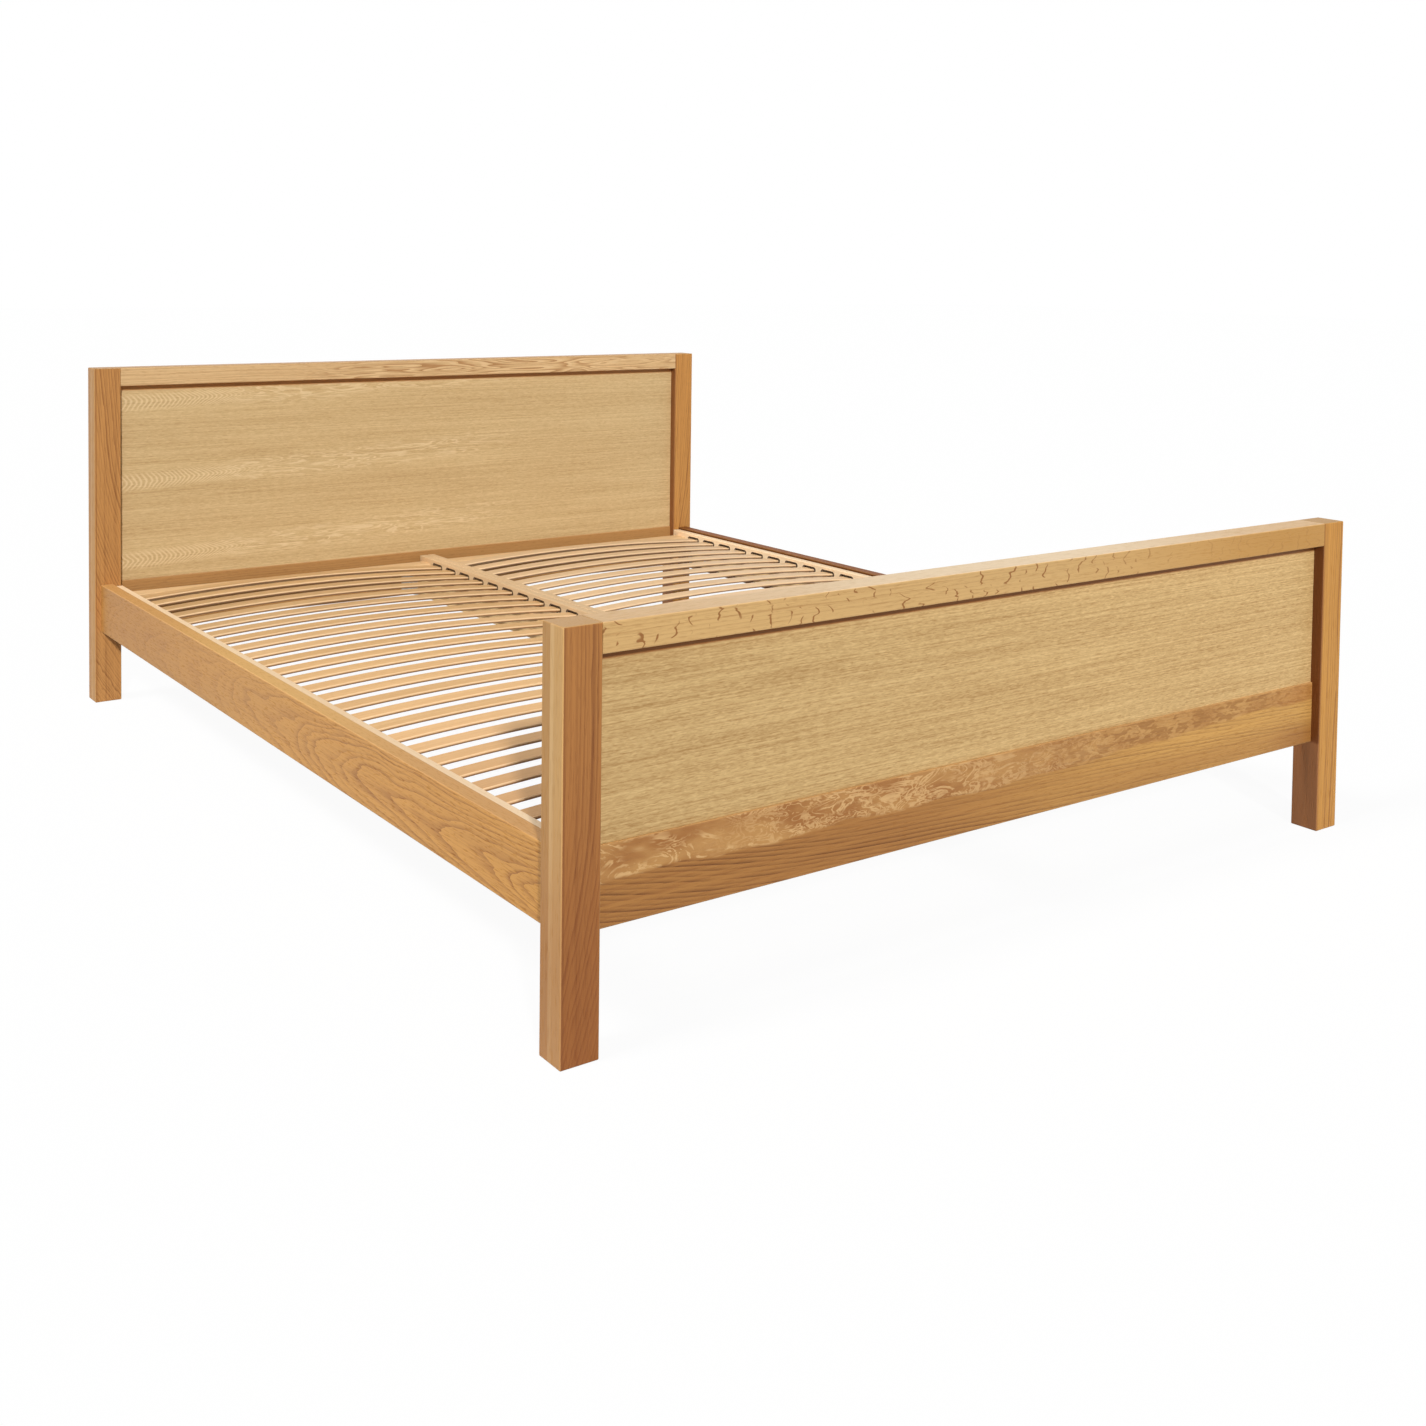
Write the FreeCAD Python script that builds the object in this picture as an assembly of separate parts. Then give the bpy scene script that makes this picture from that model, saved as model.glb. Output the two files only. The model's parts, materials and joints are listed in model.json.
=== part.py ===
import FreeCAD, Part
import math
import os

# Bed frame in oak: panelled headboard and footboard, two side rails and a pair of sprung slat bases.
# Millimetres. X runs across the bed, Y from foot to head, Z up. The origin is on the floor, at the middle.

V = FreeCAD.Vector

# Mattress that the frame is made for
mattress_width = 1500.0
mattress_length = 2000.0
mattress_side_play = 6.5
mattress_end_play = 2.0

# Posts
post_width = 56.0
post_depth = 53.0
head_post_height = 742.0
foot_post_height = 549.0

# Rails and panels of the headboard and the footboard
floor_clearance = 157.0
top_rail_height = 40.0
lower_rail_height = 107.0
lower_rail_thickness = 20.0
panel_thickness = 13.0

# Side rails
side_rail_height = 105.0
side_rail_thickness = 26.0
side_rail_inset = 12.5

# Joints cut in the wood
tenon_length = 22.0
top_tenon_height = 20.0
top_tenon_thickness = 18.0
lower_tenon_height = 80.0
lower_tenon_thickness = 10.0
groove_depth = 8.0
glue_gap = 0.2
arris = 2.0

# Bed bolts, two at each corner, and a dowel between them
bolt_radius = 4.0
bolt_edge_distance = 25.0
bolt_in_post = 32.0
bolt_past_nut = 4.0
bolt_hole_radius = 5.0
insert_radius = 6.0
insert_length = 22.0
thread_gap = 0.1
pocket_radius = 17.5
pocket_setback = 55.0
pocket_past_bolt = 8.5
washer_thickness = 9.0
washer_width = 12.0
nut_across_flats = 13.0
nut_thickness = 6.5
dowel_radius = 4.0
dowel_length = 40.0

# Slat bases
base_side_gap = 1.5
base_end_gap = 2.0
base_middle_gap = 2.0
stringer_width = 18.0
stringer_height = 48.0
stringer_below_rail = 5.0
slat_width = 37.0
slat_thickness = 6.0
slat_pitch = 72.1
slat_crown = 14.0
slat_below_stringer = 13.0
slat_edge_flat = 0.6
slat_mortise_depth = 12.0
slat_mortise_radius = 4.5
slat_side_gap = 3.0
slat_end_gap = 1.0
slat_top_gap = 3.0
slat_nodes = 7
end_bar_width = 46.0
end_bar_thickness = 18.0
end_bar_setback = 15.0
end_bar_below_stringer = 12.5
end_bar_tenon_width = 34.0
end_bar_tenon_thickness = 10.0
least_gap_to_end_bar = 15.0

# Ledgers on the side rails
ledger_width = 22.0
ledger_height = 35.0
ledger_end_clear = 100.0
ledger_screw_count = 7
ledger_screw_end = 60.0

# Centre beam and its hangers
beam_width = 70.0
beam_height = 45.0
beam_end_gap = 1.0
hanger_sheet = 2.5
hanger_seat = 40.0
hanger_ear = 22.0
hanger_below_beam_top = 4.0
hanger_side_gap = 0.3
hanger_screw_spacing = 22.0

# Centre leg and its levelling foot
leg_section = 44.0
leg_plate_side = 66.0
leg_plate_thickness = 3.0
leg_plate_screw_spacing = 48.0
leg_stud_in_leg = 40.0
leg_stud_in_beam = 10.0
leg_stud_end_gap = 4.0
leg_insert_radius = 7.0
leg_insert_length = 20.0
leveller_travel_up = 8.0
leveller_spare = 2.0
foot_pad_radius = 17.0
foot_pad_height = 8.0
foot_pad_rounding = 2.0
foot_stem_radius = 4.0
foot_stem_in_pad = 4.0
foot_stem_in_leg = 42.0
foot_stem_clearance = 0.5

# Wood screws, as (length, shank radius, head radius)
ledger_screw = (40.0, 2.0, 4.0)
hanger_screw = (16.0, 2.0, 3.8)
plate_screw = (25.0, 2.0, 4.0)
bar_screw = (60.0, 2.5, 4.8)
bar_screw_spacing = 20.0
screw_slot_width = 0.9
screw_slot_depth = 1.1

# Places that follow from the sizes above, for the right-hand side and the head end
inner_x = mattress_width / 2 + mattress_side_play
outer_x = inner_x + side_rail_thickness + side_rail_inset
post_x = outer_x - post_width
rail_mid_x = inner_x + side_rail_thickness / 2
inner_y = mattress_length / 2 + mattress_end_play
outer_y = inner_y + post_depth
board_y = inner_y + post_depth / 2
lower_rail_face_y = board_y - lower_rail_thickness / 2
lower_rail_top = floor_clearance + lower_rail_height
side_rail_top = floor_clearance + side_rail_height
bolt_heights = (floor_clearance + bolt_edge_distance, side_rail_top - bolt_edge_distance)
dowel_z = floor_clearance + side_rail_height / 2
pocket_y = inner_y - pocket_setback

stringer_top = side_rail_top - stringer_below_rail
base_z = stringer_top - stringer_height
base_in = base_middle_gap / 2
base_out = inner_x - base_side_gap
base_y = inner_y - base_end_gap
span_low = base_in + stringer_width
span_high = base_out - stringer_width
span_mid = (span_low + span_high) / 2
half_span = (span_high - span_low) / 2

slat_top_radius = (half_span ** 2 + slat_crown ** 2) / (2 * slat_crown)
slat_centre_z = stringer_top - slat_below_stringer + slat_crown - slat_top_radius
slat_end_angle = math.asin((half_span + slat_mortise_depth - slat_end_gap) / slat_top_radius)
slat_seat_z = slat_centre_z + (slat_top_radius - slat_thickness) * math.cos(slat_end_angle) - glue_gap
slat_mortise_top = stringer_top - slat_below_stringer + slat_top_gap

end_bar_y = base_y - end_bar_setback - end_bar_width / 2
end_bar_z = stringer_top - end_bar_below_stringer - end_bar_thickness / 2
slat_room = end_bar_y - end_bar_width / 2 - least_gap_to_end_bar
slat_count = int((2 * slat_room - slat_width) / slat_pitch) + 1
slat_places = [((slat_count - 1) / 2 - i) * slat_pitch for i in range(slat_count)]

beam_z = base_z - beam_height
beam_y = lower_rail_face_y - hanger_sheet - beam_end_gap
leg_top = beam_z - leg_plate_thickness
leg_bottom = foot_pad_height + leveller_travel_up + leveller_spare


def block(x, y, z):
    """Box between the (low, high) limits on the three axes."""
    return Part.makeBox(x[1] - x[0], y[1] - y[0], z[1] - z[0], V(x[0], y[0], z[0]))


def around(middle, size):
    """Limits of a given size about a middle."""
    return (middle - size / 2, middle + size / 2)


def rod(radius, start, end):
    """Round bar between two points."""
    return Part.makeCylinder(radius, (end - start).Length, start, end - start)


def runs_along(edge, direction):
    """True for an edge that lies along a direction."""
    chord = edge.Vertexes[-1].Point - edge.Vertexes[0].Point
    return chord.cross(direction).Length < 1e-6 * chord.Length


def soften(shape, radius, direction=None):
    """Round the edges of a piece, or only those that lie along a direction."""
    edges = [e for e in shape.Edges if direction is None or runs_along(e, direction)]
    return shape.makeFillet(radius, edges)


def other_side(shape):
    """The same piece on the left of the bed."""
    return shape.mirror(V(0, 0, 0), V(1, 0, 0))


def other_end(shape):
    """The same piece at the foot end."""
    return shape.mirror(V(0, 0, 0), V(0, 1, 0))


def four_corners(shape):
    """One shape at each corner of the bed."""
    pair = [shape, other_side(shape)]
    return pair + [other_end(s) for s in pair]


def save(name, *solids):
    """Write one node: a single solid, or a group of separate ones."""
    shape = solids[0] if len(solids) == 1 else Part.makeCompound(list(solids))
    shape.exportStep("parts/" + name + ".step")
    print(name, len(shape.Solids), "solids", round(shape.Volume / 1000, 1), "cm3")


def screw_hole(kind, head, direction):
    """Hole for a countersunk screw whose head lies flush at a point."""
    return screw_body(kind, head, direction, glue_gap)


def screw_body(kind, head, direction, grow):
    """Shank and countersunk head of a screw, grown all round."""
    length, radius, head_radius = kind
    cone_depth = head_radius - radius
    cone = Part.makeCone(head_radius + grow, radius + grow, cone_depth, head, direction)
    shank = Part.makeCylinder(radius + grow, length + grow, head, direction)
    return cone.fuse(shank).removeSplitter()


def screw(kind, head, direction):
    """Countersunk screw with a cross slot in its head."""
    body = screw_body(kind, head, direction, 0.0)
    slot_length = 2 * kind[1]
    slots = []
    for size in ((slot_length, screw_slot_width), (screw_slot_width, slot_length)):
        slots.append(block(around(0, size[0]), around(0, size[1]), (0, screw_slot_depth)))
    cross = slots[0].fuse(slots[1])
    cross.Placement = FreeCAD.Placement(head, FreeCAD.Rotation(V(0, 0, 1), direction))
    return body.cut(cross)


def post(height):
    """Right-hand post at the head end, with the cuts for rails, panel, bolts and dowel."""
    wood = soften(block((post_x, outer_x), (inner_y, outer_y), (0, height)), arris)
    top_rail_z = height - top_rail_height / 2
    lower_rail_z = floor_clearance + lower_rail_height / 2
    tenon_room = (post_x, post_x + tenon_length + glue_gap)
    groove_z = (lower_rail_top - groove_depth - glue_gap, height - top_rail_height + groove_depth + glue_gap)
    cuts = [
        block(
            tenon_room,
            around(board_y, top_tenon_thickness + 2 * glue_gap),
            around(top_rail_z, top_tenon_height + 2 * glue_gap),
        ),
        block(
            tenon_room,
            around(board_y, lower_tenon_thickness + 2 * glue_gap),
            around(lower_rail_z, lower_tenon_height + 2 * glue_gap),
        ),
        block(
            (post_x, post_x + groove_depth + glue_gap),
            around(board_y, panel_thickness + 2 * glue_gap),
            groove_z,
        ),
        rod(
            dowel_radius + thread_gap,
            V(rail_mid_x, inner_y, dowel_z),
            V(rail_mid_x, inner_y + dowel_length / 2 + glue_gap, dowel_z),
        ),
    ]
    for z in bolt_heights:
        mouth = V(rail_mid_x, inner_y, z)
        cuts.append(rod(insert_radius + thread_gap, mouth, mouth + V(0, insert_length, 0)))
        cuts.append(rod(bolt_hole_radius, mouth, mouth + V(0, bolt_in_post + glue_gap, 0)))
    return wood.cut(cuts)


def board_rail(bottom, height, thickness, tenon_height, tenon_thickness):
    """Rail across the head end between the posts, with a stub tenon at each end."""
    wood = block((-post_x, post_x), around(board_y, thickness), (bottom, bottom + height))
    wood = soften(wood, arris, V(1, 0, 0))
    tenons = block(
        (-post_x - tenon_length, post_x + tenon_length),
        around(board_y, tenon_thickness),
        around(bottom + height / 2, tenon_height),
    )
    return wood.fuse(tenons).removeSplitter()


def panel_groove(top, bottom):
    """Room for a panel's edge along a rail."""
    return block((-post_x, post_x), around(board_y, panel_thickness + 2 * glue_gap), (bottom, top))


def top_rail(height):
    """Top rail of a board, grooved along its underside for the panel."""
    bottom = height - top_rail_height
    rail = board_rail(bottom, top_rail_height, post_depth, top_tenon_height, top_tenon_thickness)
    return rail.cut(panel_groove(bottom + groove_depth + glue_gap, bottom))


def lower_rail():
    """Lower rail of a board, grooved along its top, with holes for the beam hanger's screws."""
    rail = board_rail(
        floor_clearance, lower_rail_height, lower_rail_thickness, lower_tenon_height, lower_tenon_thickness
    )
    cuts = [panel_groove(lower_rail_top, lower_rail_top - groove_depth - glue_gap)]
    cuts += [screw_hole(hanger_screw, p, V(0, 1, 0)) for p in hanger_screw_places()]
    return rail.cut(cuts)


def panel(height):
    """Veneered panel of a board, held in the grooves on four sides."""
    return block(
        (-post_x - groove_depth, post_x + groove_depth),
        around(board_y, panel_thickness),
        (lower_rail_top - groove_depth, height - top_rail_height + groove_depth),
    )


def side_rail():
    """Right-hand side rail with its bolt holes, nut pockets, dowel holes and ledger screw holes."""
    wood = block((inner_x, inner_x + side_rail_thickness), (-inner_y, inner_y), (floor_clearance, side_rail_top))
    wood = soften(wood, arris, V(0, 1, 0))
    cuts = []
    for z in bolt_heights:
        end = V(rail_mid_x, inner_y, z)
        cuts.append(rod(bolt_hole_radius, end, V(rail_mid_x, pocket_y, z)))
        pocket_floor = V(rail_mid_x + pocket_past_bolt, pocket_y, z)
        cuts.append(rod(pocket_radius, V(inner_x, pocket_y, z), pocket_floor))
    dowel_end = V(rail_mid_x, inner_y - dowel_length / 2 - glue_gap, dowel_z)
    cuts.append(rod(dowel_radius + thread_gap, V(rail_mid_x, inner_y, dowel_z), dowel_end))
    cuts += [other_end(c) for c in cuts]
    cuts += [screw_hole(ledger_screw, p, V(1, 0, 0)) for p in ledger_screw_places()]
    return wood.cut(cuts)


def ledger_screw_places():
    """Heads of the right-hand ledger's screws, on its inner face."""
    reach = inner_y - ledger_end_clear - ledger_screw_end
    step = 2 * reach / (ledger_screw_count - 1)
    x = inner_x - ledger_width
    return [V(x, i * step - reach, base_z - ledger_height / 2) for i in range(ledger_screw_count)]


def ledger():
    """Right-hand ledger, screwed to the side rail's inner face."""
    reach = inner_y - ledger_end_clear
    wood = block((inner_x - ledger_width, inner_x), (-reach, reach), (base_z - ledger_height, base_z))
    return soften(wood, arris, V(0, 1, 0)).cut(
        [screw_hole(ledger_screw, p, V(1, 0, 0)) for p in ledger_screw_places()]
    )


def bed_bolt(z):
    """Threaded rod from the post's insert through the rail's end to the nut."""
    nut_far_y = pocket_y + pocket_radius - glue_gap - washer_thickness - nut_thickness
    return rod(bolt_radius, V(rail_mid_x, nut_far_y - bolt_past_nut, z), V(rail_mid_x, inner_y + bolt_in_post, z))


def threaded_insert(z):
    """Insert in the post that the bed bolt screws into."""
    start = V(rail_mid_x, inner_y, z)
    end = start + V(0, insert_length, 0)
    return rod(insert_radius, start, end).cut(rod(bolt_radius + thread_gap, start, end))


def half_moon_washer(z):
    """Washer with a round back that bears on the pocket's wall, and a flat front for the nut."""
    x = around(rail_mid_x, washer_width)
    back_radius = pocket_radius - glue_gap
    disc = rod(back_radius, V(x[0], pocket_y, z), V(x[1], pocket_y, z))
    flat_y = pocket_y + back_radius - washer_thickness
    keep = block(x, (flat_y, pocket_y + pocket_radius), around(z, 2 * pocket_radius))
    hole = rod(bolt_hole_radius, V(rail_mid_x, pocket_y, z), V(rail_mid_x, inner_y, z))
    return disc.common(keep).cut(hole)


def bed_bolt_nut(z):
    """Six-sided nut on the bed bolt, against the half-moon washer."""
    near_y = pocket_y + pocket_radius - glue_gap - washer_thickness
    corner = nut_across_flats / math.sqrt(3)
    angles = [math.radians(60 * i) for i in range(7)]
    ring = [V(rail_mid_x + corner * math.sin(a), near_y, z + corner * math.cos(a)) for a in angles]
    hexagon = Part.Face(Part.makePolygon(ring)).extrude(V(0, -nut_thickness, 0))
    bore = rod(bolt_radius + thread_gap, V(rail_mid_x, near_y - nut_thickness, z), V(rail_mid_x, near_y, z))
    return hexagon.cut(bore)


def rail_dowel():
    """Dowel that keeps a side rail level on its post."""
    return rod(
        dowel_radius,
        V(rail_mid_x, inner_y - dowel_length / 2, dowel_z),
        V(rail_mid_x, inner_y + dowel_length / 2, dowel_z),
    )


def hanger_screw_places():
    """Heads of the four screws of the hanger at the head end."""
    x = beam_width / 2 + hanger_side_gap + hanger_sheet + hanger_ear / 2
    y = lower_rail_face_y - hanger_sheet
    heights = around(beam_z + (beam_height - hanger_below_beam_top) / 2, hanger_screw_spacing)
    return [V(side * x, y, z) for side in (-1, 1) for z in heights]


def beam_hanger():
    """Folded steel hanger at the head end: ears on the rail, and cheeks and a seat for the beam."""
    back = (lower_rail_face_y - hanger_sheet, lower_rail_face_y)
    fold = (back[0] - hanger_seat, back[1])
    inside = beam_width / 2 + hanger_side_gap
    outside = inside + hanger_sheet
    tall = (beam_z - hanger_sheet, base_z - hanger_below_beam_top)
    trough = block((-outside, outside), fold, tall).cut(block((-inside, inside), fold, (beam_z, tall[1])))
    plate = block((-outside - hanger_ear, outside + hanger_ear), back, tall)
    holes = [screw_hole(hanger_screw, p, V(0, 1, 0)) for p in hanger_screw_places()]
    return trough.fuse(plate).removeSplitter().cut(holes)


def plate_screw_places():
    """Heads of the four screws of the leg's plate, on its underside."""
    reach = leg_plate_screw_spacing / 2
    return [V(x * reach, y * reach, leg_top) for x in (-1, 1) for y in (-1, 1)]


def centre_beam():
    """Beam under the two inner stringers, with holes for the leg's stud and plate screws."""
    wood = block(around(0, beam_width), (-beam_y, beam_y), (beam_z, base_z))
    wood = soften(wood, arris, V(0, 1, 0))
    stud_room = beam_z + leg_stud_in_beam + leg_stud_end_gap
    cuts = [rod(bolt_hole_radius, V(0, 0, beam_z), V(0, 0, stud_room))]
    cuts += [screw_hole(plate_screw, p, V(0, 0, 1)) for p in plate_screw_places()]
    return wood.cut(cuts)


def leg_plate():
    """Steel plate between the beam and the leg, threaded for the leg's stud."""
    square = around(0, leg_plate_side)
    plate = soften(block(square, square, (leg_top, beam_z)), arris, V(0, 0, 1))
    cuts = [rod(bolt_radius + thread_gap, V(0, 0, leg_top), V(0, 0, beam_z))]
    cuts += [screw_hole(plate_screw, p, V(0, 0, 1)) for p in plate_screw_places()]
    return plate.cut(cuts)


def leg_stud():
    """Stud that joins the leg to its plate."""
    return rod(bolt_radius, V(0, 0, leg_top - leg_stud_in_leg), V(0, 0, beam_z + leg_stud_in_beam))


def centre_leg():
    """Square leg with holes for its stud, its insert and the foot's stem."""
    square = around(0, leg_section)
    wood = soften(block(square, square, (leg_bottom, leg_top)), arris)
    stem_room = leg_bottom + foot_stem_in_leg + leveller_travel_up + leveller_spare
    return wood.cut(
        [
            rod(bolt_radius + thread_gap, V(0, 0, leg_top - leg_stud_in_leg), V(0, 0, leg_top)),
            rod(leg_insert_radius + thread_gap, V(0, 0, leg_bottom), V(0, 0, leg_bottom + leg_insert_length)),
            rod(foot_stem_radius + foot_stem_clearance, V(0, 0, leg_bottom), V(0, 0, stem_room)),
        ]
    )


def leg_insert():
    """Threaded insert in the foot of the leg."""
    ends = V(0, 0, leg_bottom), V(0, 0, leg_bottom + leg_insert_length)
    return rod(leg_insert_radius, *ends).cut(rod(foot_stem_radius + thread_gap, *ends))


def foot_stem():
    """Threaded stem of the levelling foot."""
    return rod(
        foot_stem_radius,
        V(0, 0, foot_pad_height - foot_stem_in_pad),
        V(0, 0, leg_bottom + foot_stem_in_leg),
    )


def foot_pad():
    """Round pad of the levelling foot, moulded round the end of its stem."""
    disc = Part.makeCylinder(foot_pad_radius, foot_pad_height)
    socket = rod(
        foot_stem_radius, V(0, 0, foot_pad_height - foot_stem_in_pad), V(0, 0, foot_pad_height)
    )
    return disc.makeFillet(foot_pad_rounding, disc.Edges).cut(socket)


def slat(y):
    """Bowed slat of the right-hand base, resting by its ends in the stringers' mortises."""

    def on_arc(radius, angle):
        return V(span_mid + radius * math.sin(angle), y, slat_centre_z + radius * math.cos(angle))

    def bow(radius, start, end):
        return Part.Arc(on_arc(radius, start), on_arc(radius, 0), on_arc(radius, end)).toShape()

    low_radius = slat_top_radius - slat_thickness
    end = slat_end_angle
    outline = Part.Wire(
        [
            bow(slat_top_radius, -end, end),
            Part.makeLine(on_arc(slat_top_radius, end), on_arc(low_radius, end)),
            bow(low_radius, end, -end),
            Part.makeLine(on_arc(low_radius, -end), on_arc(slat_top_radius, -end)),
        ]
    )
    wood = Part.Face(outline).extrude(V(0, slat_width, 0))
    wood.translate(V(0, -slat_width / 2, 0))
    return soften(wood, (slat_thickness - slat_edge_flat) / 2, V(1, 0, 0))


def slat_mortise(face_x, into, y):
    """Slot with rounded corners in a stringer's face, going into the wood by way of its sign."""
    x = sorted((face_x, face_x + into * slat_mortise_depth))
    room = block(x, around(y, slat_width + 2 * slat_side_gap), (slat_seat_z, slat_mortise_top))
    return soften(room, slat_mortise_radius, V(1, 0, 0))


def end_bar_mortise(face_x, into):
    """Mortise for the head-end bar's tenon in a stringer's face."""
    x = sorted((face_x, face_x + into * (slat_mortise_depth + glue_gap)))
    width = around(end_bar_y, end_bar_tenon_width + 2 * glue_gap)
    return block(x, width, around(end_bar_z, end_bar_tenon_thickness + 2 * glue_gap))


def end_bar_screw_places(x):
    """Heads of the two screws of one joint of the head-end bar."""
    return [V(x, y, end_bar_z) for y in around(end_bar_y, bar_screw_spacing)]


def stringer(x, face_x, into, screw_x):
    """Stringer of the right-hand base: its X limits, its mortised face, and the face with the screw heads."""
    wood = soften(block(x, (-base_y, base_y), (base_z, stringer_top)), arris)
    cuts = [end_bar_mortise(face_x, into)]
    cuts += [screw_hole(bar_screw, p, V(-into, 0, 0)) for p in end_bar_screw_places(screw_x)]
    cuts += [other_end(c) for c in cuts]
    cuts += [slat_mortise(face_x, into, y) for y in slat_places]
    return wood.cut(cuts)


def outer_stringer():
    """Stringer beside the right-hand side rail."""
    return stringer((span_high, base_out), span_high, 1, base_out)


def inner_stringer():
    """Stringer beside the middle of the bed."""
    return stringer((base_in, span_low), span_low, -1, base_in)


def end_bar():
    """Flat bar across the head end of the right-hand base, tenoned and screwed to the stringers."""
    width = around(end_bar_y, end_bar_width)
    wood = block((span_low, span_high), width, around(end_bar_z, end_bar_thickness))
    wood = soften(wood, arris, V(1, 0, 0))
    tenons = block(
        (span_low - slat_mortise_depth, span_high + slat_mortise_depth),
        around(end_bar_y, end_bar_tenon_width),
        around(end_bar_z, end_bar_tenon_thickness),
    )
    holes = [screw_hole(bar_screw, p, V(1, 0, 0)) for p in end_bar_screw_places(base_in)]
    holes += [screw_hole(bar_screw, p, V(-1, 0, 0)) for p in end_bar_screw_places(base_out)]
    return wood.fuse(tenons).removeSplitter().cut(holes)


def end_bar_screws():
    """Screws of the right-hand base's two end bars."""
    made = [screw(bar_screw, p, V(1, 0, 0)) for p in end_bar_screw_places(base_in)]
    made += [screw(bar_screw, p, V(-1, 0, 0)) for p in end_bar_screw_places(base_out)]
    return made + [other_end(s) for s in made]


os.makedirs("parts", exist_ok=True)

head_post = post(head_post_height)
save("head_post_right", head_post)
save("head_post_left", other_side(head_post))
foot_post = other_end(post(foot_post_height))
save("foot_post_right", foot_post)
save("foot_post_left", other_side(foot_post))

save("head_top_rail", top_rail(head_post_height))
save("foot_top_rail", other_end(top_rail(foot_post_height)))
save("head_lower_rail", lower_rail())
save("foot_lower_rail", other_end(lower_rail()))
save("head_panel", panel(head_post_height))
save("foot_panel", other_end(panel(foot_post_height)))

right_rail = side_rail()
save("side_rail_right", right_rail)
save("side_rail_left", other_side(right_rail))
right_ledger = ledger()
save("ledger_right", right_ledger)
save("ledger_left", other_side(right_ledger))
right_screws = [screw(ledger_screw, p, V(1, 0, 0)) for p in ledger_screw_places()]
save("ledger_screws", *right_screws, *[other_side(s) for s in right_screws])

for name, make in (
    ("bed_bolts", bed_bolt),
    ("threaded_inserts", threaded_insert),
    ("half_moon_washers", half_moon_washer),
    ("bed_bolt_nuts", bed_bolt_nut),
):
    save(name, *[s for z in bolt_heights for s in four_corners(make(z))])
save("rail_dowels", *four_corners(rail_dowel()))

save("centre_beam", centre_beam())
head_hanger = beam_hanger()
save("beam_hanger_head", head_hanger)
save("beam_hanger_foot", other_end(head_hanger))
head_screws = [screw(hanger_screw, p, V(0, 1, 0)) for p in hanger_screw_places()]
save("hanger_screws", *head_screws, *[other_end(s) for s in head_screws])

save("leg_plate", leg_plate())
save("leg_plate_screws", *[screw(plate_screw, p, V(0, 0, 1)) for p in plate_screw_places()])
save("leg_stud", leg_stud())
save("centre_leg", centre_leg())
save("leg_insert", leg_insert())
save("foot_stem", foot_stem())
save("foot_pad", foot_pad())

right_base = {
    "base_outer_stringer": [outer_stringer()],
    "base_inner_stringer": [inner_stringer()],
    "base_head_bar": [end_bar()],
    "base_foot_bar": [other_end(end_bar())],
    "base_screws": end_bar_screws(),
}
for group in range(slat_nodes):
    places = slat_places[group * slat_count // slat_nodes : (group + 1) * slat_count // slat_nodes]
    right_base["slats_" + str(group + 1)] = [slat(y) for y in places]
for name, solids in right_base.items():
    save("right_" + name, *solids)
    save("left_" + name, *[other_side(s) for s in solids])
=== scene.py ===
# %% [markdown]
# # An oak bed frame, dressed for the camera
#
# The joinery of this bed is already exact: every post, rail, panel, stringer and slat comes in as
# a finished solid, with its rounded arrises and its mortises. What is left for Blender is what a
# polisher and a photographer would do. Each board gets its own cut of timber, and then the bed is
# stood on a white floor in soft light.

import json
import math

import bpy
from mathutils import Matrix, Vector


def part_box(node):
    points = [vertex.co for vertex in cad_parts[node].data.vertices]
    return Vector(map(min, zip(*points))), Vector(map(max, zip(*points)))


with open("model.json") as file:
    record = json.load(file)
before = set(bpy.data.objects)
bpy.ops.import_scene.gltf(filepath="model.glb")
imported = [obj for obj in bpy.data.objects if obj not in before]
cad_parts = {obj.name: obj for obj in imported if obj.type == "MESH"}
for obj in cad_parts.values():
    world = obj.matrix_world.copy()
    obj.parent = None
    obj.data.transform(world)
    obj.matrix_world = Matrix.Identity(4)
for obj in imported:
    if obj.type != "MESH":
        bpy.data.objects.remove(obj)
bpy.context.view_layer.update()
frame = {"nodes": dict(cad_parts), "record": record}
nodes = frame["nodes"]

# %% [markdown]
# ## The camera
#
# The picture was taken from beyond the foot corner, at about chest height, with upright lines kept
# nearly upright. A view camera does that by sliding its lens down, and Blender's Shift does the
# same. The camera could be turned by hand until the picture looks right. Here its place and its
# turn come from fitting it to the corners of the posts, because that leaves nothing to guess.

# %% Place the camera
YAW, PITCH, ROLL = (math.radians(angle) for angle in (36.522, 2.445, 0.768))
CAMERA_PLACE = (-1.7993, -2.7925, 0.9914)
LENS_MM = 41.975
SENSOR_MM = 36
LENS_SHIFT = (-0.0296, -0.265)

ahead = Vector((math.sin(YAW) * math.cos(PITCH), math.cos(YAW) * math.cos(PITCH), -math.sin(PITCH)))
level = Vector((math.cos(YAW), -math.sin(YAW), 0))
above = level.cross(ahead)
right = level * math.cos(ROLL) + above * math.sin(ROLL)
up = above * math.cos(ROLL) - level * math.sin(ROLL)

view = bpy.data.cameras.new("view")
view.lens = LENS_MM
view.sensor_width = SENSOR_MM
view.shift_x, view.shift_y = LENS_SHIFT
camera = bpy.data.objects.new("view", view)
camera.matrix_world = Matrix.Translation(CAMERA_PLACE) @ Matrix((right, up, -ahead)).transposed().to_4x4()
bpy.context.scene.collection.objects.link(camera)
bpy.context.scene.camera = camera
print("camera", [round(v, 3) for v in camera.matrix_world.translation], "lens", round(view.lens, 1))

# %% [markdown]
# ## Writing shaders as sums
#
# Wood is arithmetic: how far is this point from the heart of the tree, and how many rings is that?
# Such sums can be wired by hand, but they take dozens of Math nodes. So a small class wraps a
# socket and lets Python's own operators add those nodes, and the sums further down read as sums.

# %% Wires


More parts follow.
